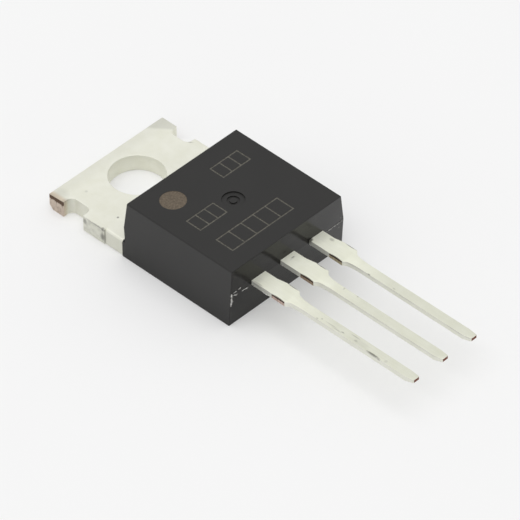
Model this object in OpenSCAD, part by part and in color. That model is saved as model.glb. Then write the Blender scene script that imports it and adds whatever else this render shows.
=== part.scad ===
// Through-hole power transistor in a flat three-lead package with a metal mounting tab.
// The origin is the centre of the mounting hole on the flat metal back.
// +Y points to the free end of the tab, the leads point along -Y, and +Z is the marked top face.

/* [Mounting tab] */
// How far the tab's ears and neck lie inside the body's sides
tab_inset = 0.03; // [0.01:0.01:0.15]
// Thickness of the copper tab and of the pad that continues it
tab_t = 1.27; // [1.1:0.01:1.45]
// Diameter of the mounting hole
hole_d = 3.7; // [3.4:0.05:3.9]
// Distance from the hole's centre to the free end of the tab
hole_to_end = 2.8; // [2.5:0.05:3.1]
// Length of the ear on the gate's side, from the free end to its notch
gate_ear_len = 1.3; // [1.1:0.05:1.4]
// Length of the notch behind it
gate_notch_len = 1.75; // [1.4:0.05:2]
// Length of the ear on the source's side
source_ear_len = 1.4; // [1.1:0.05:1.5]
// Length of the notch behind it
source_notch_len = 1.55; // [1.3:0.05:1.9]
// Depth of each notch
notch_depth = 0.7; // [0.5:0.05:0.8]
// Radius of the inner corners of each notch
notch_r = 0.4; // [0.2:0.05:0.5]
// How far the cut stub of the strip stands out from the tab behind the gate's notch
tab_stub_proud = 0.08; // [0.03:0.01:0.15]
// Length of that stub
tab_stub_len = 1.9; // [1:0.05:2.2]

/* [Moulded body] */
// Width of the moulded body at its parting line
body_w = 10; // [9.7:0.05:10.3]
// Length of the moulded body at its parting line
body_len = 9.25; // [8.9:0.05:9.6]
// Height of the top face above the metal back
body_h = 4.45; // [4.2:0.05:4.7]
// Distance from the hole's centre to the body at its parting line
hole_to_body = 3.85; // [3.6:0.05:4.1]
// How far the plastic cheeks beside the tab stand proud of the body's tab end
cheek_step = 0.2; // [0.1:0.05:0.4]
// Draft of the sides above the parting line, in degrees
side_draft = 5.5; // [3:0.5:8]
// Draft of the tab end above the parting line, in degrees
tab_end_draft = 4.5; // [3:0.5:8]
// Draft of the lead end above the parting line, in degrees
lead_end_draft = 1; // [0.5:0.5:5]
// Draft of both ends below the parting line, in degrees
lower_draft = 4; // [2:0.5:6]
// Diameter of the ejector pin mark in the top face
pin_mark_d = 1.5; // [1:0.1:2]
// Depth of the ejector pin mark
pin_mark_depth = 0.08; // [0.05:0.01:0.15]

/* [Die pad] */
// Plastic beside the pad, from the pad's side to the body's side
pad_side_wall = 0.75; // [0.5:0.05:1.1]
// Plastic beyond the pad, from the pad's end to the body's lead end
pad_end_wall = 3.2; // [3:0.05:3.5]
// How far the step under the pad's edges reaches in, which locks the plastic
lock_step = 0.3; // [0.2:0.05:0.5]
// Height of the step under the pad's edges
lock_h = 0.5; // [0.3:0.05:0.7]

/* [Leads] */
// Distance between neighbouring leads
lead_pitch = 2.54; // [2.5:0.01:2.6]
// Thickness of the lead frame at the leads
lead_t = 0.38; // [0.35:0.01:0.5]
// Height of the middle of the leads above the metal back
lead_mid_h = 2.5; // [2.3:0.05:2.6]
// Length of the leads outside the body
lead_len = 13.2; // [12.7:0.05:13.5]
// Width of a lead where it leaves the body
lead_wide_w = 1.22; // [1.1:0.01:1.3]
// How far the cut stub of the tie bar stands out on the source's side of each lead; the other cut is flush
stub_proud = 0.13; // [0.05:0.01:0.2]
// Distance from the body to the stubs of the tie bar
stub_gap = 1.7; // [1.5:0.05:1.9]
// Length of the stubs of the tie bar along the lead
stub_len = 1.1; // [0.9:0.05:1.3]
// Length of the taper before the proud stub
stub_lead_in = 0.7; // [0.3:0.05:0.9]
// Length of the taper from the stubs to the narrow leg
stub_run_out = 0.35; // [0.25:0.05:0.6]
// Width of the narrow leg that goes through a circuit board
leg_w = 0.68; // [0.6:0.01:0.85]
// Length of the coined taper at the tip
tip_len = 0.6; // [0.4:0.05:0.9]
// Width of the tip's end face
tip_w = 0.5; // [0.4:0.01:0.6]
// Thickness of the tip's end face
tip_t = 0.27; // [0.2:0.01:0.35]

/* [Lead posts inside the body] */
// Width of the bonding post on each outer lead
post_w = 2.3; // [1.9:0.05:2.5]
// Length of the bonding post
post_len = 1.6; // [1.2:0.05:1.8]
// How far each post is shifted away from the middle lead
post_shift = 0.25; // [0:0.05:0.4]
// Plastic from the post to the body's lead end
post_cover = 0.9; // [0.7:0.05:1.2]
// Length of the flat start of the middle lead at the pad
root_len = 0.35; // [0.2:0.05:0.6]
// Length over which the middle lead rises to the height of the outer leads
rise_len = 1.3; // [1.1:0.05:1.5]

/* [Die and bond wires] */
// Width of the silicon die
die_w = 4.4; // [3.6:0.1:5]
// Length of the silicon die
die_len = 4.6; // [4:0.1:5]
// Thickness of the silicon die
die_t = 0.3; // [0.2:0.01:0.4]
// Thickness of the solder under the die
solder_t = 0.06; // [0.03:0.01:0.1]
// How far the solder reaches past the die's sides
solder_margin = 0.15; // [0.05:0.05:0.3]
// Distance from the die to the pad's end
die_to_pad_end = 0.6; // [0.4:0.05:0.8]
// Distance from the die's edge to each bond on it
bond_inset = 0.8; // [0.6:0.05:1.2]
// Diameter of the gate's bond wire
gate_wire_d = 0.15; // [0.1:0.01:0.2]
// Diameter of each source bond wire
source_wire_d = 0.3; // [0.2:0.01:0.35]
// Distance between the two source bond wires
source_wire_pitch = 0.9; // [0.7:0.05:1.1]
// Height of each wire's arch above the straight line between its bonds
wire_arch = 0.85; // [0.6:0.05:1]
// Length of a flattened bond foot, in wire diameters
foot_ratio = 3; // [2:0.5:4]

/* [Hidden] */
$fn = 64;

// Places along Y, worked out from the hole
tab_face_y = -hole_to_body;
shoulder_y = tab_face_y + cheek_step;
lead_face_y = tab_face_y - body_len;
pad_end_y = lead_face_y + pad_end_wall;
tip_y = lead_face_y - lead_len;
stub_start_y = lead_face_y - stub_gap;
stub_end_y = stub_start_y - stub_len;
post_y = lead_face_y + post_cover;
gate_notch_y = hole_to_end - gate_ear_len - gate_notch_len;
source_notch_y = hole_to_end - source_ear_len - source_notch_len;

// Heights above the metal back
lead_bottom = lead_mid_h - lead_t / 2;
lead_top = lead_mid_h + lead_t / 2;
parting_h = lead_mid_h;
die_top = tab_t + solder_t + die_t;

// Sizes that follow the body
tab_w = body_w - 2 * tab_inset;
pad_w = body_w - 2 * pad_side_wall;
upper_h = body_h - parting_h;
top_side_in = upper_h * tan(side_draft);
top_tab_in = upper_h * tan(tab_end_draft);
top_lead_in = upper_h * tan(lead_end_draft);
low_end_in = parting_h * tan(lower_draft);
overcut = 1;

// Bond points as [x, y, z] on the die, and on the tops of the two posts
die_bond_y = pad_end_y + die_to_pad_end + bond_inset;
post_bond_y = post_y + post_len / 2;
gate_die_bond = [-die_w / 2 + bond_inset, die_bond_y, die_top];
gate_post_bond = [-lead_pitch - post_shift, post_bond_y, lead_top];
source_die_x = die_w / 2 - bond_inset;
source_post_x = lead_pitch + post_shift;

// Rectangle centred on X, from y_low to y_high
module band(w, y_low, y_high) {
    translate([-w / 2, y_low]) square([w, y_high - y_low]);
}

// Solid with a side view given as [y, z] points, centred on X
module side_profile(w, points) {
    translate([-w / 2, 0, 0])
        rotate([90, 0, 90])
            linear_extrude(w) polygon(points);
}

// Plan of one notch with its rounded inner corners; side is -1 for the gate's side and 1 for the source's
module notch_plan(side) {
    notch_len = side < 0 ? gate_notch_len : source_notch_len;
    y_low = side < 0 ? gate_notch_y : source_notch_y;
    depth = notch_depth;
    x_in = tab_w / 2 - depth;
    scale([side, 1]) {
        translate([x_in + notch_r, y_low]) square([depth + overcut, notch_len]);
        translate([x_in, y_low + notch_r]) square([notch_r, notch_len - 2 * notch_r]);
        for (y = [y_low + notch_r, y_low + notch_len - notch_r])
            translate([x_in + notch_r, y]) circle(notch_r);
    }
}

// Plan of the tab and the pad, with the cut stub behind the gate's notch
module tab_plan() {
    difference() {
        union() {
            band(tab_w, shoulder_y, hole_to_end);
            band(pad_w, pad_end_y, shoulder_y + overcut);
            translate([-tab_w / 2 - tab_stub_proud, gate_notch_y - tab_stub_len])
                square([tab_stub_proud + overcut, tab_stub_len]);
        }
        notch_plan(1);
        notch_plan(-1);
    }
}

// Plan of a lead from y_start inside the body to its tip, with the stubs of the cut tie bar
module lead_plan(y_start) {
    a = lead_wide_w / 2;
    b = a + stub_proud;
    c = leg_w / 2;
    e = tip_w / 2;
    polygon([
        [a, y_start], [a, stub_start_y + stub_lead_in], [b, stub_start_y], [b, stub_end_y],
        [c, stub_end_y - stub_run_out], [c, tip_y + tip_len], [e, tip_y],
        [-e, tip_y], [-c, tip_y + tip_len], [-c, stub_end_y - stub_run_out], [-a, stub_end_y], [-a, y_start]
    ]);
}

// Side view of a straight lead from y_start to its coined tip, as [y, z] points
function straight_side(y_start) = [
    [y_start, lead_bottom], [tip_y + tip_len, lead_bottom], [tip_y, lead_mid_h - tip_t / 2],
    [tip_y, lead_mid_h + tip_t / 2], [tip_y + tip_len, lead_top], [y_start, lead_top]
];

// Side view of the middle lead, which leaves the pad's top and rises to the outer leads' height
function risen_side() =
    let (y_a = pad_end_y - root_len,
         y_b = y_a - rise_len,
         drop = lead_top - tab_t,
         m = lead_t * tan(atan2(drop, rise_len) / 2))
    [
        [pad_end_y + overcut, tab_t - lead_t], [y_a - m, tab_t - lead_t], [y_b - m, lead_bottom],
        [tip_y + tip_len, lead_bottom], [tip_y, lead_mid_h - tip_t / 2],
        [tip_y, lead_mid_h + tip_t / 2], [tip_y + tip_len, lead_top], [y_b, lead_top],
        [y_a, tab_t], [pad_end_y + overcut, tab_t]
    ];

// Copper tab, die pad and middle lead, stamped and bent in one piece
module drain_frame_shape() {
    difference() {
        linear_extrude(tab_t) tab_plan();
        translate([0, 0, -overcut]) cylinder(d = hole_d, h = tab_t + 2 * overcut);
        for (side = [-1, 1])
            translate([side * pad_w / 2, (shoulder_y + pad_end_y) / 2, 0])
                cube([2 * lock_step, shoulder_y - pad_end_y, 2 * lock_h], center = true);
        translate([0, pad_end_y, 0]) cube([pad_w + overcut, 2 * lock_step, 2 * lock_h], center = true);
    }
    intersection() {
        side_profile(lead_wide_w + 2 * stub_proud + overcut, risen_side());
        linear_extrude(body_h) lead_plan(pad_end_y + overcut / 2);
    }
}

// Outer lead with its bonding post inside the body; side is -1 for the gate and 1 for the source
module outer_lead_shape(side) {
    post_end_y = post_y + post_len;
    intersection() {
        translate([side * lead_pitch, 0, 0])
            side_profile(post_w + 2 * post_shift + overcut, straight_side(post_end_y));
        union() {
            translate([side * lead_pitch, 0, 0]) linear_extrude(body_h) lead_plan(post_end_y);
            translate([side * (lead_pitch + post_shift), 0, 0])
                linear_extrude(body_h) band(post_w, post_y, post_end_y);
        }
    }
}

module silicon_die_shape() {
    translate([-die_w / 2, pad_end_y + die_to_pad_end, tab_t + solder_t]) cube([die_w, die_len, die_t]);
}

module die_solder_shape() {
    m = solder_margin;
    translate([-die_w / 2 - m, pad_end_y + die_to_pad_end - m, tab_t])
        cube([die_w + 2 * m, die_len + 2 * m, solder_t]);
}

// Flattened end of a bond wire, centred on the origin and lying along X
module bond_foot(d) {
    w = 1.4 * d;
    h = 0.6 * d;
    r = (w * w / 4 + h * h) / (2 * h);
    length = foot_ratio * d;
    translate([-length / 2, 0, 0])
        rotate([90, 0, 90])
            linear_extrude(length)
                intersection() {
                    translate([0, h - r]) circle(r);
                    translate([-w / 2, 0]) square([w, h]);
                }
}

// Bond wire of diameter d, arched from point p to point q, with a flattened foot at each end
module bond_wire_shape(d, p, q) {
    run = norm([q[0] - p[0], q[1] - p[1]]);
    rise = q[2] - p[2];
    chord = norm([run, rise]);
    radius = (chord * chord / 4 + wire_arch * wire_arch) / (2 * wire_arch);
    half_angle = asin(chord / 2 / radius);
    heading = atan2(q[1] - p[1], q[0] - p[0]);
    lift = 0.3 * d;
    translate(p) rotate([0, 0, heading]) bond_foot(d);
    translate(q) rotate([0, 0, heading]) bond_foot(d);
    translate([p[0], p[1], p[2] + lift])
        rotate([0, 0, heading])
            rotate([0, -atan2(rise, run), 0])
                translate([chord / 2, 0, wire_arch - radius])
                    rotate([90, 0, 0])
                        rotate([0, 0, 90 - half_angle])
                            rotate_extrude(angle = 2 * half_angle) translate([radius, 0]) circle(d = d);
}

// Source wire number i, 0 or 1, between points shared by its bonds
module source_wire_shape(i) {
    dx = (i - 0.5) * source_wire_pitch;
    p = [source_die_x - source_wire_pitch / 2 + dx, die_bond_y, die_top];
    q = [source_post_x + dx, post_bond_y, lead_top];
    difference() {
        bond_wire_shape(source_wire_d, p, q);
        silicon_die_shape();
        outer_lead_shape(1);
    }
}

module gate_wire_shape() {
    difference() {
        bond_wire_shape(gate_wire_d, gate_die_bond, gate_post_bond);
        silicon_die_shape();
        outer_lead_shape(-1);
    }
}

// Outer form of the moulding: drafted above and below its parting line, with cheeks beside the tab
module body_block() {
    ends = [
        [tab_face_y - low_end_in, 0], [tab_face_y, parting_h], [tab_face_y - top_tab_in, body_h],
        [lead_face_y + top_lead_in, body_h], [lead_face_y, parting_h], [lead_face_y + low_end_in, 0]
    ];
    sides = [
        [-body_w / 2, 0], [body_w / 2, 0], [body_w / 2, parting_h], [body_w / 2 - top_side_in, body_h],
        [-body_w / 2 + top_side_in, body_h], [-body_w / 2, parting_h]
    ];
    intersection() {
        side_profile(body_w + overcut, ends);
        translate([0, overcut, 0])
            rotate([90, 0, 0])
                linear_extrude(hole_to_body + body_len + 2 * overcut) polygon(sides);
    }
    translate([-body_w / 2, tab_face_y - overcut, 0])
        cube([body_w, overcut + cheek_step, tab_t]);
}

// Black epoxy moulding, cast around everything that lies inside it
module moulded_body() {
    color("#35332f")
        difference() {
            body_block();
            translate([0, (tab_face_y + lead_face_y) / 2, body_h - pin_mark_depth])
                cylinder(d = pin_mark_d, h = pin_mark_depth + overcut);
            drain_frame_shape();
            outer_lead_shape(-1);
            outer_lead_shape(1);
            die_solder_shape();
            silicon_die_shape();
            gate_wire_shape();
            source_wire_shape(0);
            source_wire_shape(1);
        }
}

module drain_frame() {
    color("#e0e0d0") drain_frame_shape();
}

module gate_lead() {
    color("#e0e0d0") outer_lead_shape(-1);
}

module source_lead() {
    color("#e0e0d0") outer_lead_shape(1);
}

module silicon_die() {
    color("#5a6068") silicon_die_shape();
}

module die_solder() {
    color("#9a9ca0") die_solder_shape();
}

module gate_wire() {
    color("#d4d6d8") gate_wire_shape();
}

module source_wire_1() {
    color("#d4d6d8") source_wire_shape(0);
}

module source_wire_2() {
    color("#d4d6d8") source_wire_shape(1);
}

moulded_body();
drain_frame();
gate_lead();
source_lead();
silicon_die();
die_solder();
gate_wire();
source_wire_1();
source_wire_2();
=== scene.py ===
import math
import random

import bmesh
import bpy
from mathutils import Matrix, Vector


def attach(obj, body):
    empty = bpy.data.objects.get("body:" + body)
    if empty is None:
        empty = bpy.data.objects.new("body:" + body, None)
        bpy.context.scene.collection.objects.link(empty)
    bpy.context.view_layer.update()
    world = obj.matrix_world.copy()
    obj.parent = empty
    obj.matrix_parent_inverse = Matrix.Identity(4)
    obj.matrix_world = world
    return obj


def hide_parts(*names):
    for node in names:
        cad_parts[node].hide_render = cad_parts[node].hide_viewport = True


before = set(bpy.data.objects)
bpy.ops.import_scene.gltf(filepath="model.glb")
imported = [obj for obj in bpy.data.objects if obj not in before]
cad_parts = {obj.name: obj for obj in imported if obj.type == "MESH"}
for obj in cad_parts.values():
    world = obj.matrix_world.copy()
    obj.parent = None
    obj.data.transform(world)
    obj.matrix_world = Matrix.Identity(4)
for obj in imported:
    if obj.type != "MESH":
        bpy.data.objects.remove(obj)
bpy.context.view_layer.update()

# The solids fix every size. Sizes below are in millimetres of the same frame, and MM turns them to metres.
MM = 0.001
scene = bpy.context.scene

# The camera stands where the photograph was taken from, above the gate side of the lead end,
# and looks through a long lens at a point just inside the lead end of the moulding.
AIM = Vector((-0.048, -10.769, 0.869)) * MM
CAMERA_BACK = Vector((-0.52412, -0.52020, 0.67431))
CAMERA_UP = Vector((0.48771, 0.46574, 0.73839))
CAMERA_DISTANCE = 0.4
CAMERA_LENS = 448.4
SENSOR_WIDTH = 36.0

camera_data = bpy.data.cameras.new("studio_camera")
camera_data.sensor_width = SENSOR_WIDTH
camera_data.lens = CAMERA_LENS
camera_data.clip_start = 0.01
camera_data.clip_end = 50.0
camera = bpy.data.objects.new("studio_camera", camera_data)
scene.collection.objects.link(camera)
camera_right = CAMERA_UP.cross(CAMERA_BACK)
turn = Matrix((camera_right, CAMERA_UP, CAMERA_BACK)).transposed().to_4x4()
camera.matrix_world = Matrix.Translation(AIM + CAMERA_BACK * CAMERA_DISTANCE) @ turn
scene.camera = camera
scene.view_settings.view_transform = "Standard"


# The part lies on a sheet of matt white paper under one large softbox, with pale light from all round.
# The softbox hangs almost straight above, so the shade lies evenly round the foot of the moulding.
# The floor's half side and the softbox's side and place are in metres.
FLOOR_HALF = 6.0
FLOOR_DROP = 0.01
SOFTBOX_SIDE = 0.8
SOFTBOX_PLACE = Vector((-0.09, -0.02, 0.7))
SOFTBOX_WATTS = 2.22
ROOM_LIGHT = 0.70


def colour(code):
    """An sRGB hex code such as #c0ffee as linear red, green, blue and alpha."""
    channels = [int(code[i:i + 2], 16) / 255 for i in (1, 3, 5)]
    linear = [c / 12.92 if c <= 0.04045 else ((c + 0.055) / 1.055) ** 2.4 for c in channels]
    return (*linear, 1.0)


def add_node(tree, kind, inputs=None, **settings):
    """Adds a node, makes its settings, and gives its inputs values or links."""
    node = tree.nodes.new(kind)
    for key, value in settings.items():
        setattr(node, key, value)
    for key, value in (inputs or {}).items():
        if isinstance(value, bpy.types.NodeSocket):
            tree.links.new(value, node.inputs[key])
        else:
            node.inputs[key].default_value = value
    return node


def new_material(name, base, roughness, metallic=0.0):
    """A material with its node tree and its shader, whose plain values are set on the shader itself."""
    material = bpy.data.materials.new(name)
    material.use_nodes = True
    shader = material.node_tree.nodes["Principled BSDF"]
    shader.inputs["Base Color"].default_value = colour(base)
    shader.inputs["Roughness"].default_value = roughness
    shader.inputs["Metallic"].default_value = metallic
    return material, material.node_tree, shader


# Matt paper: uncoated, so it has no gloss and only a very faint unevenness of tone. It is lit through
# from below too, so a part of what the eye sees of it is plain white, and shadows on it stay pale.
PAPER_GLOW = 0.23
paper, tree, shader = new_material("matt_white_paper", "#f5f5f5", 0.9)
shader.inputs["Specular IOR Level"].default_value = 0.0
place = add_node(tree, "ShaderNodeTexCoord").outputs["Object"]
cloud = add_node(tree, "ShaderNodeTexNoise", {"Vector": place, "Scale": 60.0, "Detail": 2.0})
tone = add_node(tree, "ShaderNodeMix", {
    "Factor": cloud.outputs[0], 6: colour("#f4f4f4"), 7: colour("#f6f6f6")}, data_type="RGBA")
tree.links.new(tone.outputs[2], shader.inputs["Base Color"])
path = add_node(tree, "ShaderNodeLightPath")
seen = add_node(tree, "ShaderNodeMath", {
    0: path.outputs["Is Camera Ray"], 1: path.outputs["Is Glossy Ray"]}, operation="MAXIMUM")
seen = add_node(tree, "ShaderNodeMath", {
    0: seen.outputs[0], 1: path.outputs["Is Transmission Ray"]}, operation="MAXIMUM")
share = add_node(tree, "ShaderNodeMath", {0: seen.outputs[0], 1: PAPER_GLOW}, operation="MULTIPLY")
glow = add_node(tree, "ShaderNodeEmission", {"Color": colour("#f7f7f7"), "Strength": 1.0})
lit = add_node(tree, "ShaderNodeMixShader", {0: share.outputs[0], 1: shader.outputs[0], 2: glow.outputs[0]})
tree.links.new(lit.outputs[0], tree.nodes["Material Output"].inputs["Surface"])

floor_mesh = bpy.data.meshes.new("paper_floor")
floor_corners = []
for x, y in ((-1, -1), (1, -1), (1, 1), (-1, 1)):
    floor_corners.append((x * FLOOR_HALF, y * FLOOR_HALF, -FLOOR_DROP * MM))
floor_mesh.from_pydata(floor_corners, [], [(0, 1, 2, 3)])
floor_mesh.materials.append(paper)
floor = bpy.data.objects.new("paper_floor", floor_mesh)
scene.collection.objects.link(floor)

softbox_data = bpy.data.lights.new("softbox", "AREA")
softbox_data.shape = "SQUARE"
softbox_data.size = SOFTBOX_SIDE
softbox_data.energy = SOFTBOX_WATTS
softbox = bpy.data.objects.new("softbox", softbox_data)
scene.collection.objects.link(softbox)
softbox.location = AIM + SOFTBOX_PLACE
softbox.rotation_mode = "QUATERNION"
softbox.rotation_quaternion = (-SOFTBOX_PLACE).to_track_quat("-Z", "Y")

world = bpy.data.worlds.new("pale_room")
world.use_nodes = True
room = world.node_tree.nodes["Background"]
room.inputs["Color"].default_value = (1.0, 1.0, 1.0, 1.0)
room.inputs["Strength"].default_value = ROOM_LIGHT
scene.world = world


# The lead frame is stamped from copper strip: thick tab and die pad, thin leads, all in matt tin.
# Tab, pad and middle lead are one piece. The punch leaves round lower edges and crisp upper ones.
TAB_TOP = 1.27
TAB_SIDE = 4.97
TAB_END_Y = 2.8
SHOULDER_Y = -3.65
EAR_Y = {-1: 1.50, 1: 1.40}
TAB_STUB_SIDE = 5.05
TAB_STUB_Y = (-2.15, -0.25)
HOLE_RADIUS = 1.85
LEAD_PITCH = 2.54
LEAD_FACE_Y = -13.10
ROOT_CUT_Y = LEAD_FACE_Y + 0.15
BURIED_Y = LEAD_FACE_Y + 0.20
LEAD_TOP = 2.69
LEAD_BOTTOM = 2.31
LEG_HALF = 0.34
STUB_Y = (-15.90, -14.80)
STUB_HALF = {-1: 0.61, 1: 0.74}
TIP_Y = -26.30
TIP_LEAN = 0.07
LEAD_REACH = 1.0
LEAD_ROUND = 0.03
STUB_ROUND = 0.015
WIDEST_ROUND = 0.30
BEVEL_STEPS = 3
SHARP_ANGLE = math.radians(36)
FLAT_ANGLE = math.radians(25)

# How near a point has to be to count as lying on a rounded or a drafted face, and on an exact plane
NEAR = 0.01
TOUCH = 0.001

# How a lead narrows from its stubs to its leg: places along it, and the share of the width still to lose
NECKING = ((-15.90, 1.00), (-16.00, 0.72), (-16.10, 0.45), (-16.20, 0.32), (-16.32, 0.24),
           (-16.46, 0.17), (-16.62, 0.11), (-16.80, 0.06), (-17.00, 0.02), (-17.25, 0.00))


def merged_copy(node):
    """A closed copy of a CAD node's mesh, its triangles joined and its flat faces made whole."""
    bm = bmesh.new()
    bm.from_mesh(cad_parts[node].data)
    bmesh.ops.remove_doubles(bm, verts=bm.verts, dist=1e-7)
    bmesh.ops.dissolve_limit(bm, angle_limit=math.radians(0.6), verts=bm.verts, edges=bm.edges)
    return bm


def middle_of(item):
    """The middle of an edge or a face in millimetres."""
    points = [v.co for v in item.verts]
    return sum(points, Vector()) / len(points) / MM


def cut_at(bm, y):
    """Cuts new edges round the shape where it crosses a plane square to the leads."""
    everything = bm.verts[:] + bm.edges[:] + bm.faces[:]
    bmesh.ops.bisect_plane(bm, geom=everything, dist=1e-8, plane_co=(0, y * MM, 0), plane_no=(0, 1, 0))


def neck_down(bm, lead_x):
    """Gives a lead the hollow curve from its stubs to its leg."""
    for y, _ in NECKING:
        cut_at(bm, y)
    for v in bm.verts:
        x, y, z = v.co / MM
        if abs(x - lead_x) > LEAD_REACH or not NECKING[-1][0] - TOUCH <= y <= NECKING[0][0] + TOUCH:
            continue
        side = 1 if x > lead_x else -1
        for (y_a, share_a), (y_b, share_b) in zip(NECKING, NECKING[1:]):
            if y_b - TOUCH <= y <= y_a + TOUCH:
                share = share_a + (share_b - share_a) * (y_a - y) / (y_a - y_b)
                v.co.x = (lead_x + side * (LEG_HALF + share * (STUB_HALF[side] - LEG_HALF))) * MM
                break


def lean_tip(bm):
    """Leans the end of a lead the way that the parting tool pushed it."""
    for v in bm.verts:
        if v.co.y < (TIP_Y + NEAR) * MM:
            v.co.x += TIP_LEAN * MM


def lead_round(edge, lead_x):
    """How far an edge of a lead is rounded: the strip's rolled edges more, the late cuts less."""
    x, y, z = middle_of(edge)
    if y > BURIED_Y or abs(x - lead_x) > LEAD_REACH:
        return 0.0
    return STUB_ROUND if STUB_Y[0] - NEAR < y < STUB_Y[1] + NEAR else LEAD_ROUND


def tab_round(edge):
    """How far an edge of the tab and middle lead is rounded, each kind of edge in turn."""
    x, y, z = middle_of(edge)
    if y < SHOULDER_Y + TOUCH:
        return lead_round(edge, 0.0)
    upright = abs((edge.verts[0].co - edge.verts[1].co).z) > 0.5 * MM
    upper = z > TAB_TOP / 2
    at_free_end = y > TAB_END_Y - NEAR
    at_gate_ear = x < -TAB_SIDE + NEAR and y > EAR_Y[-1] - NEAR
    at_hole = math.hypot(x, y) < HOLE_RADIUS + NEAR
    by_moulding = y < TAB_STUB_Y[0]
    if at_hole:
        return 0.06 if upper else 0.10
    if upper and at_free_end:
        return 0.12
    if at_gate_ear:
        return 0.05 if upper and not upright else 0.0
    if upright:
        return 0.05 if x < 0 else 0.12
    if upper and by_moulding:
        return 0.20
    if upper:
        return 0.03 if x < 0 or y > 0 else 0.10
    return WIDEST_ROUND if at_free_end else 0.12


def sort_cut_faces(bm, lead_x):
    """Marks the faces that were cut after plating: 1 at the stubs, 2 at the tip and 3 at the ears."""
    for face in bm.faces:
        x, y, z = middle_of(face)
        sideways = abs(face.normal.x) > 0.99
        side = 1 if x > lead_x else -1
        if sideways and STUB_Y[0] < y < STUB_Y[1] and abs(abs(x - lead_x) - STUB_HALF[side]) < NEAR:
            face.material_index = 1
        elif abs(face.normal.y) > 0.99 and y < TIP_Y + NEAR:
            face.material_index = 2
        elif sideways and EAR_Y[side] < y < TAB_END_Y and abs(abs(x) - TAB_SIDE) < NEAR:
            face.material_index = 3


def settle(piece):
    """Works a piece's modifiers into its mesh."""
    graph = bpy.context.evaluated_depsgraph_get()
    mesh = bpy.data.meshes.new_from_object(
        piece.evaluated_get(graph), preserve_all_data_layers=True, depsgraph=graph)
    mesh.name = piece.name
    piece.modifiers.clear()
    piece.data = mesh


def put_in_scene(bm, name, materials):
    """Makes an object of a mesh that is built in place."""
    mesh = bpy.data.meshes.new(name)
    bm.to_mesh(mesh)
    bm.free()
    for material in materials:
        mesh.materials.append(material)
    piece = bpy.data.objects.new(name, mesh)
    scene.collection.objects.link(piece)
    return piece


def round_edges(bm, name, materials, radius_of):
    """Makes a piece whose sharp edges are rounded by the radius that a rule gives each of them.
    The rounds take the first material, because the plating covers them."""
    weights = bm.edges.layers.float.new("bevel_weight_edge")
    for edge in bm.edges:
        if edge.is_manifold and edge.calc_face_angle(0.0) > FLAT_ANGLE:
            edge[weights] = radius_of(edge) / WIDEST_ROUND
    piece = put_in_scene(bm, name, materials)
    bevel = piece.modifiers.new("rounded_edges", "BEVEL")
    bevel.limit_method = "WEIGHT"
    bevel.width = WIDEST_ROUND * MM
    bevel.segments = BEVEL_STEPS
    bevel.use_clamp_overlap = False

    # Without this the ends of a round slide along the flat faces that it meets
    bevel.loop_slide = False
    bevel.material = 0
    settle(piece)
    return piece


def even_shading(piece, is_crease=None):
    """Smooths rounded edges and keeps flat faces flat."""
    bm = bmesh.new()
    bm.from_mesh(piece.data)
    for face in bm.faces:
        face.smooth = True
    for edge in bm.edges:
        crease = is_crease is not None and is_crease(edge)
        edge.smooth = edge.calc_face_angle(0.0) < SHARP_ANGLE and not crease
    bm.to_mesh(piece.data)
    bm.free()
    normals = piece.modifiers.new("flat_faces", "WEIGHTED_NORMAL")
    normals.keep_sharp = True
    normals.mode = "FACE_AREA"
    normals.weight = 100
    settle(piece)


# Matt tin: electroplated without brighteners, so its fine grey crystals scatter light to a warm white.
# It shows cloudy tone, crystals of a few hundredths of a millimetre, drawing lines along the leads
# and handling marks in the soft tin, with painted shade on its walls, at the tab's foot and at the ears'
# corners.
CRYSTAL_SIZE = 0.05
CLOUD_SIZE = 0.9
STREAK_SIZE = 0.12
MOTTLE_SIZE = 0.32
TIN_ROUGHNESS = 0.65

# The direction from the hole in which the far ear's corner gets painted shade
FAR_EAR_SHADE_WAY = (0.796, 0.605, 0.0)
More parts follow.
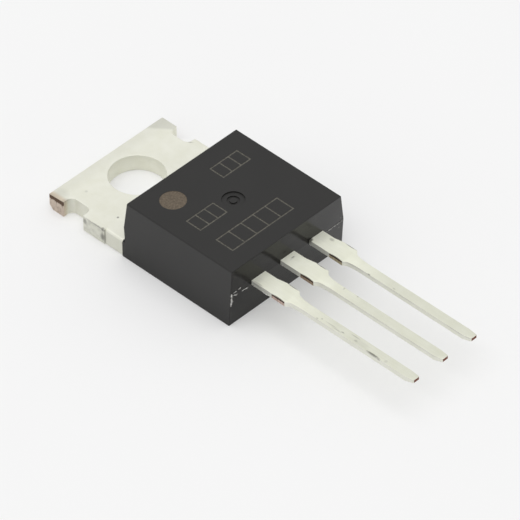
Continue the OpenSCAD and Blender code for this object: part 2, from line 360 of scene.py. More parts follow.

# Smudges, nicks and pits, and some patches of painted shade: middle, half sizes in millimetres, and how
# much each darkens the tin
TIN_MARKS_AND_SHADE = (
    ((-2.85, -13.35, LEAD_TOP), (0.45, 0.30, 0.30), 0.12),
    # Painted shade along the rounded gate-side edge of the gate lead next to the moulding
    ((-3.08, -13.55, LEAD_TOP), (0.09, 0.50, 0.10), 0.32),
    ((-2.65, -19.40, LEAD_TOP), (0.05, 0.55, 0.10), 0.20),
    ((-2.82, -23.00, LEAD_TOP), (0.09, 0.60, 0.10), 0.70),
    ((-2.88, -23.50, LEAD_TOP), (0.06, 0.20, 0.10), 0.40),
    ((-2.72, -24.00, LEAD_TOP), (0.14, 0.14, 0.10), 0.14),
    ((-2.40, -21.20, LEAD_TOP), (0.05, 0.45, 0.10), 0.30),
    ((-2.65, -21.43, LEAD_TOP), (0.10, 0.16, 0.10), 0.28),
    ((-2.65, -21.86, LEAD_TOP), (0.30, 0.70, 0.10), 0.09),
    ((-2.66, -20.35, LEAD_TOP), (0.06, 0.14, 0.10), 0.40),
    ((-2.74, -19.95, LEAD_TOP), (0.05, 0.40, 0.10), 0.25),
    ((2.92, -14.08, LEAD_TOP), (0.14, 0.22, 0.10), 0.35),
    ((-2.82, -18.35, LEAD_TOP), (0.07, 0.09, 0.10), 0.28),
    ((-2.65, -18.60, LEAD_TOP), (0.08, 0.08, 0.10), 0.25),
    ((0.12, -13.45, LEAD_TOP), (0.17, 0.06, 0.10), 0.60),
    ((0.02, -13.52, LEAD_TOP), (0.34, 0.06, 0.10), 0.14),
    ((0.22, -17.70, LEAD_TOP), (0.11, 0.07, 0.10), 0.25),
    ((0.28, -18.80, LEAD_TOP), (0.06, 0.08, 0.10), 0.25),
    ((2.00, -13.15, LEAD_TOP), (0.20, 0.17, 0.30), 0.90),
    ((2.55, -13.50, LEAD_TOP), (0.60, 0.45, 0.20), 0.07),
    ((2.20, -17.90, LEAD_TOP), (0.06, 0.13, 0.08), 0.50),
    ((2.32, -19.90, LEAD_TOP), (0.06, 0.14, 0.10), 0.22),
    ((-3.65, -1.95, TAB_TOP), (0.09, 0.09, 0.10), 0.60),
    ((-3.30, 1.20, TAB_TOP), (0.12, 0.12, 0.10), 0.14),
    # Painted shade where the gate ear's corner rolls down: the next two patches
    ((-4.50, 2.20, TAB_TOP), (0.50, 0.65, 0.15), 0.09),
    ((-4.85, 1.50, TAB_TOP), (0.40, 0.30, 0.12), 0.16),
    ((-TAB_STUB_SIDE, -2.00, 0.60), (0.15, 0.22, 0.36), 0.55),
    ((-TAB_STUB_SIDE, -2.00, 1.22), (0.15, 0.16, 0.18), 0.55),
    ((-5.02, -2.17, 0.60), (0.12, 0.06, 0.80), 0.40),
    ((-TAB_STUB_SIDE, -0.44, 0.93), (0.15, 0.18, 0.26), 0.42),
    ((-TAB_STUB_SIDE, -1.60, 1.22), (0.08, 0.75, 0.07), 0.38),
    # Painted contact shade along the foot of the neck's gate-side wall
    ((-4.97, -2.90, 0.04), (0.10, 0.90, 0.08), 0.35),
    ((-3.15, -15.35, LEAD_TOP), (0.06, 0.52, 0.09), 0.80),
    ((-0.61, -15.35, LEAD_TOP), (0.06, 0.52, 0.10), 0.90),
    ((1.93, -15.35, LEAD_TOP), (0.06, 0.52, 0.10), 0.90),
    # Painted shade on the walls of the gate and middle leads next to the moulding: the next two patches
    ((-3.14, -13.55, 2.56), (0.06, 0.45, 0.05), 0.45),
    ((-0.60, -13.60, 2.60), (0.06, 0.60, 0.03), 0.35),
    ((-1.81, -15.35, LEAD_TOP), (0.055, 0.50, 0.10), 0.80),
    ((0.73, -15.35, LEAD_TOP), (0.055, 0.50, 0.10), 0.80),
    ((3.27, -15.35, LEAD_TOP), (0.055, 0.50, 0.10), 0.80),
)

matt_tin, tree, shader = new_material("matt_tin_plate", "#ecedde", TIN_ROUGHNESS, metallic=1.0)
place_node = add_node(tree, "ShaderNodeTexCoord")
place = place_node.outputs["Object"]
cloud = add_node(tree, "ShaderNodeTexNoise", {
    "Vector": place, "Scale": 1 / (CLOUD_SIZE * MM), "Detail": 4.0})
crystals = add_node(tree, "ShaderNodeTexNoise", {
    "Vector": place, "Scale": 1 / (CRYSTAL_SIZE * MM), "Detail": 2.0, "Roughness": 0.6})
along_leads = add_node(tree, "ShaderNodeMapping", {"Vector": place, "Scale": (1.0, 0.06, 1.0)})
streaks = add_node(tree, "ShaderNodeTexNoise", {
    "Vector": along_leads.outputs[0], "Scale": 1 / (STREAK_SIZE * MM), "Detail": 3.0})
darkening = None
for middle, half_sizes, depth in TIN_MARKS_AND_SHADE:
    inverse = [1 / (s * MM) for s in half_sizes]
    shift = [-m * MM * i for m, i in zip(middle, inverse)]
    reach = add_node(tree, "ShaderNodeVectorMath", {
        0: place, 1: inverse, 2: shift}, operation="MULTIPLY_ADD")
    far = add_node(tree, "ShaderNodeVectorMath", {0: reach.outputs[0]}, operation="LENGTH")
    ragged = add_node(tree, "ShaderNodeMath", {
        0: crystals.outputs[0], 1: 0.9, 2: far.outputs["Value"]}, operation="MULTIPLY_ADD")
    spot = add_node(tree, "ShaderNodeMapRange", {
        "Value": ragged.outputs[0], "From Min": 1.55, "From Max": 0.85, "To Min": 0.0, "To Max": depth})
    if darkening is None:
        darkening = spot.outputs[0]
    else:
        darkening = add_node(tree, "ShaderNodeMath", {
            0: darkening, 1: spot.outputs[0]}, operation="MAXIMUM").outputs[0]
tone = add_node(tree, "ShaderNodeMix", {
    "Factor": cloud.outputs[0], 6: colour("#ebebdd"), 7: colour("#f8f8f0")}, data_type="RGBA").outputs[2]

# Masks say, from 0 to 1, how far a place belongs to each area of the tin that looks a little different
spot_xyz = add_node(tree, "ShaderNodeSeparateXYZ", {0: place}).outputs
facing = add_node(tree, "ShaderNodeVectorMath", {0: place_node.outputs["Normal"]}, operation="ABSOLUTE")
facing = add_node(tree, "ShaderNodeSeparateXYZ", {0: facing.outputs[0]}).outputs


def mask(value, low, high):
    """0 where a value is at low or past it, and 1 where it is at high or past it."""
    return add_node(tree, "ShaderNodeMapRange", {
        "Value": value, "From Min": low, "From Max": high}).outputs[0]


def along(axis, low, high):
    """0 up to one place along an axis, and 1 from another, both in millimetres."""
    return mask(spot_xyz[axis], low * MM, high * MM)


def both(a, b):
    """The product of two values."""
    return add_node(tree, "ShaderNodeMath", {0: a, 1: b}, operation="MULTIPLY").outputs[0]


on_leads = along("Y", -13.0, -13.1)
on_top = mask(facing["Z"], 0.5, 0.9)
upright = mask(facing["Z"], 0.5, 0.2)
sideways = mask(facing["X"], 0.6, 0.85)
# Painted shade on the leads' walls, stronger on the wide parts next to the moulding
lead_wall_shade = both(sideways, on_leads)
root_wall_shade = both(along("Y", -15.2, -14.4), lead_wall_shade)
by_body = both(along("Y", -16.2, -13.6), on_leads)
leg_top = both(along("Y", -16.6, -19.5), on_top)
streaky = both(mask(streaks.outputs[0], 0.65, 0.35), on_leads)

# Painted shade in a band along the top of each lead's wall, stronger from the gate to the source
wall_band_shade = both(both(along("Z", 2.52, 2.62), lead_wall_shade), along("X", -4.5, 2.5))
wall_band_shade = both(wall_band_shade, mask(streaks.outputs[0], 0.40, 0.65))

# The tab: painted shade on its outer wall and at its foot, the mottled cut of its stub, the free end and
# the two ears
outer_wall_shade = both(along("X", -4.10, -4.38), upright)
mottle = add_node(tree, "ShaderNodeTexNoise", {
    "Vector": place, "Scale": 1 / (MOTTLE_SIZE * MM), "Detail": 3.0})
mottled = both(mask(mottle.outputs[0], 0.42, 0.62), along("X", -4.99, -5.03))
free_end = both(along("Y", 1.6, 2.4), on_top)
# Painted contact shade along the foot of the tab's walls, where they meet the floor
foot_contact_shade = both(along("Z", 0.09, 0.03), upright)
sheared_ear = both(along("X", -4.60, -4.85), along("Y", 1.0, 1.4))
# Painted shade on the far ear's corner, standing in for its slope
far_ear_shade = add_node(tree, "ShaderNodeVectorMath", {0: place, 1: FAR_EAR_SHADE_WAY}, operation="DOT_PRODUCT")
far_ear_shade = both(mask(far_ear_shade.outputs["Value"], 4.40 * MM, 4.62 * MM), on_top)

# Each mask takes a share of the tin's brightness, or tints it
for area, share in ((streaky, 0.03), (outer_wall_shade, 0.13), (lead_wall_shade, 0.05), (wall_band_shade, 0.25),
                    (root_wall_shade, 0.36), (leg_top, 0.13), (free_end, 0.05), (foot_contact_shade, 0.35),
                    (far_ear_shade, 0.14), (mottled, 0.12)):
    kept = add_node(tree, "ShaderNodeMath", {0: area, 1: -share, 2: 1.0}, operation="MULTIPLY_ADD")
    dimmed = add_node(tree, "ShaderNodeVectorMath", {0: tone, "Scale": kept.outputs[0]}, operation="SCALE")
    tone = dimmed.outputs[0]
for area, tint in ((both(on_leads, on_top), "#fefffa"), (sheared_ear, "#f0e5dc")):
    tone = add_node(tree, "ShaderNodeMix", {
        "Factor": area, 6: tone, 7: colour(tint)}, data_type="RGBA", blend_type="MULTIPLY").outputs[2]
marked = add_node(tree, "ShaderNodeMix", {
    "Factor": darkening, 6: tone, 7: colour("#3a382f")}, data_type="RGBA")
tree.links.new(marked.outputs[2], shader.inputs["Base Color"])
grain = add_node(tree, "ShaderNodeMapRange", {
    "Value": crystals.outputs[0], "From Min": 0.3, "From Max": 0.7,
    "To Min": TIN_ROUGHNESS - 0.06, "To Max": TIN_ROUGHNESS + 0.06})
tree.links.new(grain.outputs[0], shader.inputs["Roughness"])

# The thin leads took the plating in coarser, looser crystals, which scatter more of the light, most so
# on the wide parts next to the moulding
looser = add_node(tree, "ShaderNodeMapRange", {"Value": on_leads, "To Min": 1.0, "To Max": 0.6})
looser = add_node(tree, "ShaderNodeMath", {
    0: by_body, 1: -0.35, 2: looser.outputs[0]}, operation="MULTIPLY_ADD")
tree.links.new(looser.outputs[0], shader.inputs["Metallic"])
ripple = add_node(tree, "ShaderNodeBump", {
    "Height": cloud.outputs[0], "Strength": 1.0, "Distance": 0.012 * MM})
bump = add_node(tree, "ShaderNodeBump", {
    "Height": crystals.outputs[0], "Strength": 1.0, "Distance": 0.0025 * MM, "Normal": ripple.outputs[0]})
tree.links.new(bump.outputs[0], shader.inputs["Normal"])


# Sheared copper: the strip is cut from its neighbours after plating, so the cut shows bare copper.
# The blade first burnishes a dark, browned band, and the rest breaks off rough, dull and pinkish.
TEAR_SIZE = 0.12


def sheared_copper(name, low, high, band_from, dark, light, further_lights=()):
    """Bare copper of a cut between two heights, dark from a part of the height up. Where further tones are
    given, the first of them belongs to the middle lead and the second to the source lead."""
    material, tree, shader = new_material(name, light, 0.55, metallic=0.4)
    place = add_node(tree, "ShaderNodeTexCoord").outputs["Object"]
    spot_xyz = add_node(tree, "ShaderNodeSeparateXYZ", {0: place}).outputs
    part = add_node(tree, "ShaderNodeMapRange", {
        "Value": spot_xyz["Z"], "From Min": low * MM, "From Max": high * MM}).outputs[0]
    plain = colour(light)
    for (x_from, x_to), tone in zip(((-3.1, -0.7), (-0.5, 1.8)), further_lights):
        reached = add_node(tree, "ShaderNodeMapRange", {
            "Value": spot_xyz["X"], "From Min": x_from * MM, "From Max": x_to * MM}).outputs[0]
        plain = add_node(tree, "ShaderNodeMix", {
            "Factor": reached, 6: plain, 7: colour(tone)}, data_type="RGBA").outputs[2]
    upright = add_node(tree, "ShaderNodeMapping", {"Vector": place, "Scale": (1.0, 1.0, 0.35)})
    tears = add_node(tree, "ShaderNodeTexNoise", {
        "Vector": upright.outputs[0], "Scale": 1 / (TEAR_SIZE * MM), "Detail": 3.0})
    uneven = add_node(tree, "ShaderNodeMath", {
        0: tears.outputs[0], 1: 0.25, 2: part}, operation="MULTIPLY_ADD")
    band = add_node(tree, "ShaderNodeMapRange", {
        "Value": uneven.outputs[0], "From Min": band_from + 0.10, "From Max": band_from + 0.18})
    patch = add_node(tree, "ShaderNodeMapRange", {
        "Value": tears.outputs[0], "From Min": 0.45, "From Max": 0.75, "To Min": 0.0, "To Max": 0.5})
    dulled = add_node(tree, "ShaderNodeMix", {
        "Factor": patch.outputs[0], 6: plain, 7: colour(dark)}, data_type="RGBA")
    banded = add_node(tree, "ShaderNodeMix", {
        "Factor": band.outputs[0], 6: dulled.outputs[2], 7: colour(dark)}, data_type="RGBA")
    tree.links.new(banded.outputs[2], shader.inputs["Base Color"])
    bump = add_node(tree, "ShaderNodeBump", {
        "Height": tears.outputs[0], "Strength": 1.0, "Distance": 0.015 * MM})
    tree.links.new(bump.outputs[0], shader.inputs["Normal"])
    return material


stub_copper = sheared_copper(
    "sheared_copper_stub", LEAD_BOTTOM, LEAD_TOP, 0.60, "#3a2110", "#c8b0a5", ("#9b8671", "#b0a486"))
tip_copper = sheared_copper("sheared_copper_tip", LEAD_BOTTOM, LEAD_TOP, 0.95, "#5a3524", "#743f2c")
ear_copper = sheared_copper("sheared_copper_ear", 0.0, TAB_TOP, 0.66, "#57402c", "#cabbac")
TIN_AND_CUTS = (matt_tin, stub_copper, tip_copper, ear_copper)

bm = merged_copy("drain_frame")
for y in (ROOT_CUT_Y, STUB_Y[1]):
    cut_at(bm, y)
neck_down(bm, 0.0)
lean_tip(bm)
sort_cut_faces(bm, 0.0)
tab = round_edges(bm, "tab_and_middle_lead", TIN_AND_CUTS, tab_round)
even_shading(tab)
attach(tab, "root")
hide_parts("drain_frame")


# The two outer leads come from the same tinned strip. Inside the moulding each widens to a post for
# its bond wires, and the tie bar that joined the leads is cut off outside it.
for side, node, name in ((-1, "gate_lead", "tinned_gate_lead"), (1, "source_lead", "tinned_source_lead")):
    lead_x = side * LEAD_PITCH
    bm = merged_copy(node)
    for y in (ROOT_CUT_Y, STUB_Y[1]):
        cut_at(bm, y)
    neck_down(bm, lead_x)
    lean_tip(bm)
    sort_cut_faces(bm, lead_x)
    lead = round_edges(bm, name, TIN_AND_CUTS, lambda edge: lead_round(edge, lead_x))
    even_shading(lead)
    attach(lead, "root")
    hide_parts(node)


# The silicon die is sawn from a polished wafer and soft-soldered to the pad, under the moulding.
# Polished silicon is a blue-grey mirror with thin pale lines of metal between its cells.
silicon, tree, shader = new_material("polished_silicon", "#5a6068", 0.18, metallic=0.8)
place = add_node(tree, "ShaderNodeTexCoord").outputs["Object"]
cells = add_node(tree, "ShaderNodeTexBrick", {
    "Vector": place, "Scale": 1 / MM, "Mortar Size": 0.02, "Brick Width": 0.5, "Row Height": 0.5,
    "Color1": colour("#555b64"), "Color2": colour("#5e646d"), "Mortar": colour("#a9adb0")}, offset=0.0)
tree.links.new(cells.outputs["Color"], shader.inputs["Base Color"])
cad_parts["silicon_die"].data.materials.clear()
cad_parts["silicon_die"].data.materials.append(silicon)


# The solder is a thin sheet of soft lead-tin alloy, melted between die and pad so that it holds the one
# to the other. It is a dull bright grey with the coarse grain of its slow cooling.
solder, tree, shader = new_material("soft_solder", "#b4b6b8", 0.35, metallic=1.0)
place = add_node(tree, "ShaderNodeTexCoord").outputs["Object"]
grains = add_node(tree, "ShaderNodeTexVoronoi", {"Vector": place, "Scale": 1 / (0.15 * MM)})
tone = add_node(tree, "ShaderNodeMix", {
    "Factor": grains.outputs["Distance"], 6: colour("#a6a8aa"), 7: colour("#c4c6c8")}, data_type="RGBA")
tree.links.new(tone.outputs[2], shader.inputs["Base Color"])
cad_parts["die_solder"].data.materials.clear()
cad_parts["die_solder"].data.materials.append(solder)


# The three bond wires are drawn aluminium, arched from the die to the posts and pressed flat at each end
# by the bonding tool. They are bright, with fine lines from the drawing die.
wire_metal, tree, shader = new_material("drawn_aluminium", "#d6d8da", 0.28, metallic=1.0)
place = add_node(tree, "ShaderNodeTexCoord").outputs["Object"]
drawn = add_node(tree, "ShaderNodeMapping", {"Vector": place, "Scale": (1.0, 0.1, 1.0)})
lines = add_node(tree, "ShaderNodeTexNoise", {"Vector": drawn.outputs[0], "Scale": 1 / (0.03 * MM)})
gloss = add_node(tree, "ShaderNodeMapRange", {"Value": lines.outputs[0], "To Min": 0.2, "To Max": 0.36})
tree.links.new(gloss.outputs[0], shader.inputs["Roughness"])
for node in ("gate_wire", "source_wire_1", "source_wire_2"):
    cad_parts[node].data.materials.clear()
    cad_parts[node].data.materials.append(wire_metal)


# The marks on the top face are burnt in by a laser, which turns the black epoxy a matt beige-grey.
# They are three plain strips of open cells and a plain disc, engraved a few hundredths of a millimetre.
BODY_TOP = 4.45
MARK_DEPTH = 0.02
MARK_STROKE = 0.10
CUTTER_STEPS = 48

# Each strip's middle, length, height and number of cells
MARK_STRIPS = (
    ((2.22, -6.03), 2.45, 1.25, 3),
    ((-2.25, -8.40), 2.40, 1.30, 3),
    ((-0.70, -11.02), 5.40, 1.50, 5),
)
DISC_MIDDLE = (-2.62, -5.85)
DISC_RADIUS = 0.86


def burnt_epoxy(name, light, dark):
    """Epoxy burnt matt by the laser, uneven from one pulse to the next."""
    material, tree, shader = new_material(name, light, 0.75)
    place = add_node(tree, "ShaderNodeTexCoord").outputs["Object"]
    burnt = add_node(tree, "ShaderNodeTexNoise", {"Vector": place, "Scale": 1 / (0.11 * MM), "Detail": 3.0})
    tone = add_node(tree, "ShaderNodeMapRange", {
        "Value": burnt.outputs[0], "From Min": 0.3, "From Max": 0.7}).outputs[0]
    tone = add_node(tree, "ShaderNodeMix", {
        "Factor": tone, 6: colour(dark), 7: colour(light)}, data_type="RGBA")
    tree.links.new(tone.outputs[2], shader.inputs["Base Color"])
    bump = add_node(tree, "ShaderNodeBump", {
        "Height": burnt.outputs[0], "Strength": 1.0, "Distance": 0.006 * MM})
    tree.links.new(bump.outputs[0], shader.inputs["Normal"])
    return material


laser_mark = burnt_epoxy("laser_marked_epoxy", "#6e6b62", "#47453f")
laser_disc = burnt_epoxy("laser_marked_disc", "#6f6353", "#51473b")


def strip_tree(material):
    """Geometry Nodes for a strip of open cells: two rails, and strokes set across them at even steps."""
    tree = bpy.data.node_groups.new("laser_strip", "GeometryNodeTree")
    for name in ("Length", "Height", "Stroke", "Depth"):
        tree.interface.new_socket(name, in_out="INPUT", socket_type="NodeSocketFloat")
    tree.interface.new_socket("Cells", in_out="INPUT", socket_type="NodeSocketInt")
    tree.interface.new_socket("Middle", in_out="INPUT", socket_type="NodeSocketVector")
    tree.interface.new_socket("Geometry", in_out="OUTPUT", socket_type="NodeSocketGeometry")
    given = add_node(tree, "NodeGroupInput").outputs
    span = add_node(tree, "ShaderNodeMath", {0: given["Length"], 1: given["Stroke"]}, operation="SUBTRACT")
    half_span = add_node(tree, "ShaderNodeMath", {0: span.outputs[0], 1: -0.5}, operation="MULTIPLY")
    step = add_node(tree, "ShaderNodeMath", {0: span.outputs[0], 1: given["Cells"]}, operation="DIVIDE")
    count = add_node(tree, "ShaderNodeMath", {0: given["Cells"], 1: 1.0}, operation="ADD")
    start = add_node(tree, "ShaderNodeCombineXYZ", {"X": half_span.outputs[0]})
    stride = add_node(tree, "ShaderNodeCombineXYZ", {"X": step.outputs[0]})
    spots = add_node(tree, "GeometryNodeMeshLine", {
        "Count": count.outputs[0], "Start Location": start.outputs[0], "Offset": stride.outputs[0]})
    stroke_size = add_node(tree, "ShaderNodeCombineXYZ", {
        "X": given["Stroke"], "Y": given["Height"], "Z": given["Depth"]})
    stroke = add_node(tree, "GeometryNodeMeshCube", {"Size": stroke_size.outputs[0]})
    strokes = add_node(tree, "GeometryNodeInstanceOnPoints", {
        "Points": spots.outputs[0], "Instance": stroke.outputs["Mesh"]})
    real_strokes = add_node(tree, "GeometryNodeRealizeInstances", {0: strokes.outputs[0]})
    rail_size = add_node(tree, "ShaderNodeCombineXYZ", {
        "X": given["Length"], "Y": given["Stroke"], "Z": given["Depth"]})
    rail = add_node(tree, "GeometryNodeMeshCube", {"Size": rail_size.outputs[0]})
    rail_step = add_node(tree, "ShaderNodeMath", {
        0: given["Height"], 1: given["Stroke"]}, operation="SUBTRACT")
    rail_start = add_node(tree, "ShaderNodeMath", {0: rail_step.outputs[0], 1: -0.5}, operation="MULTIPLY")
    rail_from = add_node(tree, "ShaderNodeCombineXYZ", {"Y": rail_start.outputs[0]})
    rail_stride = add_node(tree, "ShaderNodeCombineXYZ", {"Y": rail_step.outputs[0]})
    rail_spots = add_node(tree, "GeometryNodeMeshLine", {
        "Count": 2, "Start Location": rail_from.outputs[0], "Offset": rail_stride.outputs[0]})
    rails = add_node(tree, "GeometryNodeInstanceOnPoints", {
        "Points": rail_spots.outputs[0], "Instance": rail.outputs["Mesh"]})
    real_rails = add_node(tree, "GeometryNodeRealizeInstances", {0: rails.outputs[0]})
    joined = add_node(tree, "GeometryNodeMeshBoolean", operation="UNION", solver="EXACT")
    tree.links.new(real_rails.outputs[0], joined.inputs["Mesh 2"])
    tree.links.new(real_strokes.outputs[0], joined.inputs["Mesh 2"])
    placed = add_node(tree, "GeometryNodeTransform", {
        "Geometry": joined.outputs["Mesh"], "Translation": given["Middle"]})
    real = add_node(tree, "GeometryNodeRealizeInstances", {0: placed.outputs[0]})
    faced = add_node(tree, "GeometryNodeSetMaterial", {"Geometry": real.outputs[0], "Material": material})
    add_node(tree, "NodeGroupOutput", {"Geometry": faced.outputs[0]})
    return tree


def strip_cutter(tree, name, middle, length, height, cells):
    """The solid that a strip of marks takes out of the top face."""
    values = {"Length": length * MM, "Height": height * MM, "Stroke": MARK_STROKE * MM,
              "Depth": 2 * MARK_DEPTH * MM, "Cells": cells,
              "Middle": (middle[0] * MM, middle[1] * MM, BODY_TOP * MM)}
    cutter = put_in_scene(bmesh.new(), name, (laser_mark,))
    strip = cutter.modifiers.new("strip", "NODES")
    strip.node_group = tree
    for item in tree.interface.items_tree:
        if item.in_out == "INPUT":
            strip[item.identifier] = values[item.name]
    settle(cutter)
    return cutter


def round_cutter(name, middle, outer, inner, low, high, material):
    """The solid that a disc, or a ring where inner isn't 0, takes out of the top face."""
    bm = bmesh.new()
    steps = CUTTER_STEPS
    loops = []
    for radius, z in ((outer, low), (outer, high), (inner, high), (inner, low)):
        if radius:
            loops.append([bm.verts.new((
                (middle[0] + radius * math.cos(2 * math.pi * i / steps)) * MM,
                (middle[1] + radius * math.sin(2 * math.pi * i / steps)) * MM,
                z * MM)) for i in range(steps)])
    for a, b in zip(loops, loops[1:] + loops[:1] if inner else loops[1:]):
        for i in range(steps):
            j = (i + 1) % steps
            bm.faces.new((a[i], a[j], b[j], b[i]))
    if not inner:
        bm.faces.new(loops[0])
        bm.faces.new(loops[1])
    bmesh.ops.recalc_face_normals(bm, faces=bm.faces)
    return put_in_scene(bm, name, (material,))


# The moulding is black epoxy pressed round the lead frame in a spark-eroded mould: fine matt grain
# on top and sides, a smooth face where the leads come out, and mould halves that meet at the leads.
BODY_SIDE = 5.0
TAB_FACE_Y = -3.85
CHEEK_SLANT = 0.08
PARTING_Z = 2.5
PIN_MIDDLE = (0.0, -8.475)
PIN_DEPTH = 0.08
PIN_RING_RADII = (0.42, 0.24)
PIN_RING_DEPTH = 0.07
GRAIN_SIZE = 0.07
PATCH_SIZE = 2.5
EDGE_REACH = 0.25

epoxy, tree, shader = new_material("black_epoxy_moulding", "#201f1d", 0.55)
place_node = add_node(tree, "ShaderNodeTexCoord")
place = place_node.outputs["Object"]
spot_xyz = add_node(tree, "ShaderNodeSeparateXYZ", {0: place}).outputs
facing = add_node(tree, "ShaderNodeSeparateXYZ", {0: place_node.outputs["Normal"]}).outputs
grain = add_node(tree, "ShaderNodeTexNoise", {
    "Vector": place, "Scale": 1 / (GRAIN_SIZE * MM), "Detail": 3.0, "Roughness": 0.6})
patches = add_node(tree, "ShaderNodeTexNoise", {
    "Vector": place, "Scale": 1 / (PATCH_SIZE * MM), "Detail": 3.0})
tone = add_node(tree, "ShaderNodeMix", {
    "Factor": patches.outputs[0], 6: colour("#161514"), 7: colour("#1e1d1b")}, data_type="RGBA")
tree.links.new(tone.outputs[2], shader.inputs["Base Color"])
smooth_end = add_node(tree, "ShaderNodeMapRange", {
    "Value": facing["Y"], "From Min": -0.8, "From Max": -0.95}).outputs[0]
rough = add_node(tree, "ShaderNodeMapRange", {
    "Value": facing["Z"], "From Min": 0.3, "From Max": 0.8, "To Min": 0.42, "To Max": 0.58})
end_rough = add_node(tree, "ShaderNodeMapRange", {
    "Value": grain.outputs[0], "From Min": 0.3, "From Max": 0.7, "To Min": 0.12, "To Max": 0.22})
roughness = add_node(tree, "ShaderNodeMix", {
    "Factor": smooth_end, 2: rough.outputs[0], 3: end_rough.outputs[0]}, data_type="FLOAT")
tree.links.new(roughness.outputs[0], shader.inputs["Roughness"])

# Painted shade in the epoxy's reflections: its specular level falls towards its foot, and towards the
# gate's end of the lead end face
foot_reflection_shade = add_node(tree, "ShaderNodeMapRange", {
    "Value": spot_xyz["Z"], "From Min": 0.5 * MM, "From Max": 4.0 * MM, "To Min": 0.34, "To Max": 0.50})
end_reflection_shade = add_node(tree, "ShaderNodeMapRange", {
    "Value": spot_xyz["X"], "From Min": -4.3 * MM, "From Max": 4.5 * MM, "To Min": 0.22, "To Max": 0.60})
painted_reflection = add_node(tree, "ShaderNodeMix", {
    "Factor": smooth_end, 2: foot_reflection_shade.outputs[0], 3: end_reflection_shade.outputs[0]}, data_type="FLOAT")
tree.links.new(painted_reflection.outputs[0], shader.inputs["Specular IOR Level"])
grain_height = add_node(tree, "ShaderNodeMapRange", {
    "Value": smooth_end, "To Min": 0.9, "To Max": 0.12})
bump = add_node(tree, "ShaderNodeBump", {
    "Height": grain.outputs[0], "Strength": grain_height.outputs[0], "Distance": 0.006 * MM})
tree.links.new(bump.outputs[0], shader.inputs["Normal"])


def body_round(edge):
    """How far an outer edge of the moulding is rounded. Its cavities and the parting line stay sharp."""
    points = [v.co / MM for v in edge.verts]
    at_sides = [abs(p.x) > BODY_SIDE - EDGE_REACH for p in points]
    at_ends = [p.y > TAB_FACE_Y - EDGE_REACH or p.y < LEAD_FACE_Y + EDGE_REACH for p in points]
    if not all(side or end for side, end in zip(at_sides, at_ends)):
        return 0.0
    if all(p.z > BODY_TOP - TOUCH for p in points):
        return 0.12 if middle_of(edge).x < -4.0 else 0.06
    if all(at_sides) and abs(points[0].z - points[1].z) > 0.3:
        return 0.04
    if all(at_sides) and all(p.z < TOUCH for p in points):
        return 0.03
    return 0.0


def body_crease(edge):
    """The parting line on the two ends, where the halves of the mould meet at a shallow angle."""
    on_ends = abs(middle_of(edge).x) < BODY_SIDE - EDGE_REACH
    return on_ends and all(abs(v.co.z / MM - PARTING_Z) < TOUCH for v in edge.verts)


# The cheeks beside the tab slant back a little above its top face
bm = merged_copy("moulded_body")
for v in bm.verts:
    x, y, z = v.co / MM
    if abs(x) > BODY_SIDE - 0.1 and y > TAB_FACE_Y + 0.1 and abs(z - TAB_TOP) < TOUCH:
        v.co.y -= CHEEK_SLANT * MM
body = round_edges(bm, "black_moulding", (epoxy, laser_mark, laser_disc), body_round)
laser_strip = strip_tree(laser_mark)
cutters = []
for i, (middle, length, height, cells) in enumerate(MARK_STRIPS):
    cutters.append(strip_cutter(laser_strip, f"mark_strip_{i}", middle, length, height, cells))
cutters.append(round_cutter(
    "mark_disc", DISC_MIDDLE, DISC_RADIUS, 0.0, BODY_TOP - MARK_DEPTH, BODY_TOP + MARK_DEPTH, laser_disc))
pin_floor = BODY_TOP - PIN_DEPTH
cutters.append(round_cutter(
    "pin_ring", PIN_MIDDLE, *PIN_RING_RADII, pin_floor - PIN_RING_DEPTH, pin_floor + 0.02, epoxy))
for cutter in cutters:
    cut = body.modifiers.new("cut", "BOOLEAN")
    cut.operation = "DIFFERENCE"
    cut.solver = "EXACT"
    cut.material_mode = "TRANSFER"
    cut.object = cutter
settle(body)
for cutter in cutters:
    bpy.data.objects.remove(cutter)
even_shading(body, body_crease)
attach(body, "root")
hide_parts("moulded_body")


# Where the mould halves close on the lead frame, a little epoxy creeps out and cures as a paper-thin
# fin, which breaks off ragged. It shows pale at both ends of the lead end face, at the heights of the
# frame's two faces, down the gate-side corner, and in crumbs along the side of the gate lead.
FIN_STEP = 0.06
FIN_ROOT = 0.1

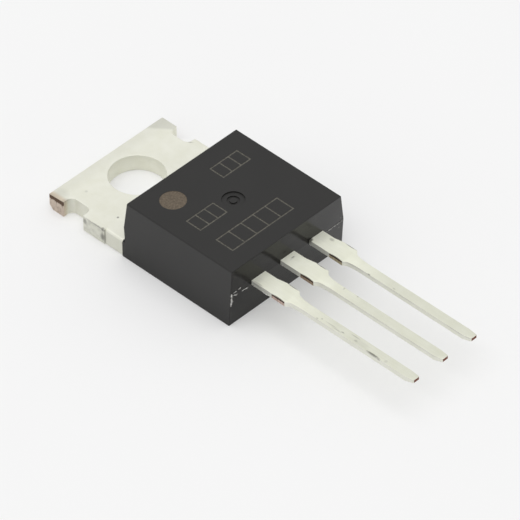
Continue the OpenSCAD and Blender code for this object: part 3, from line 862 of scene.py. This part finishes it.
# Each fin's start, end, direction it stands out in, how far it stands out at most, and its thickness
FINS = (
    ((-4.92, -13.05, 2.50), (-4.36, -13.08, 2.40), (0.0, -1.0, 0.2), 0.10, 0.13),
    ((-4.02, -13.08, 2.38), (-3.45, -13.08, 2.36), (0.0, -1.0, 0.2), 0.08, 0.08),
    ((-4.75, -13.08, 2.68), (-4.48, -13.08, 2.72), (0.0, -1.0, 0.3), 0.08, 0.09),
    ((-4.32, -13.08, 2.74), (-4.06, -13.08, 2.75), (0.0, -1.0, 0.3), 0.10, 0.11),
    ((-4.93, -13.07, 1.68), (-4.91, -13.10, 2.34), (-0.3, -0.9, 0.0), 0.05, 0.14),
    ((-4.91, -13.09, 1.95), (-4.87, -13.11, 2.70), (-0.3, -0.9, 0.0), 0.05, 0.22),
    ((3.45, -13.08, 2.36), (4.90, -13.08, 2.40), (0.0, -1.0, 0.2), 0.06, 0.03),
    ((4.72, -13.08, 2.72), (4.84, -13.08, 2.66), (0.0, -1.0, 0.3), 0.05, 0.05),
    ((4.55, -13.07, 2.02), (4.61, -13.07, 2.06), (0.0, -1.0, 0.3), 0.05, 0.08),
    ((-3.14, -13.10, 2.36), (-3.14, -13.72, 2.34), (-1.0, 0.0, 0.2), 0.05, 0.06),
    ((-3.14, -13.98, 2.36), (-3.14, -14.60, 2.36), (-1.0, 0.0, 0.2), 0.06, 0.09),
    ((-0.60, -13.10, 2.35), (-0.60, -13.32, 2.34), (-1.0, 0.0, 0.2), 0.05, 0.07),
    ((1.94, -13.10, 2.35), (1.94, -13.30, 2.34), (-1.0, 0.0, 0.2), 0.05, 0.06),
)

fin_epoxy, tree, shader = new_material("thin_epoxy_fin", "#d8d7d3", 0.4)
place = add_node(tree, "ShaderNodeTexCoord").outputs["Object"]
torn = add_node(tree, "ShaderNodeTexNoise", {"Vector": place, "Scale": 1 / (0.10 * MM), "Detail": 3.0})
torn = add_node(tree, "ShaderNodeMapRange", {"Value": torn.outputs[0], "From Min": 0.35, "From Max": 0.6})
tone = add_node(tree, "ShaderNodeMix", {
    "Factor": torn.outputs[0], 6: colour("#62615e"), 7: colour("#dcdbd7")}, data_type="RGBA")
tree.links.new(tone.outputs[2], shader.inputs["Base Color"])

draw = random.Random(7)
bm = bmesh.new()
for start, end, out, reach, thickness in FINS:
    start = Vector(start)
    end = Vector(end)
    out = Vector(out).normalized()
    across = (end - start).cross(out).normalized()
    steps = max(3, round((end - start).length / FIN_STEP))
    rings = []
    for i in range(steps + 1):
        ends = i in (0, steps)
        half = thickness / 2 * (0.3 if ends else draw.uniform(0.5, 1.0))
        root = start.lerp(end, i / steps) + across * thickness * draw.uniform(-0.25, 0.25)
        crest = root + out * (0.01 if ends else reach * draw.uniform(0.2, 1.0))
        foot = root - out * FIN_ROOT
        corners = (foot - across * half, crest - across * half * 0.6,
                   crest + across * half * 0.6, foot + across * half)
        rings.append([bm.verts.new(c * MM) for c in corners])
    for a, b in zip(rings, rings[1:]):
        for j in range(4):
            k = (j + 1) % 4
            bm.faces.new((a[j], a[k], b[k], b[j]))
    bm.faces.new(rings[0])
    bm.faces.new(rings[-1])
bmesh.ops.recalc_face_normals(bm, faces=bm.faces)
fins = put_in_scene(bm, "parting_fins", (fin_epoxy,))
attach(fins, "root")
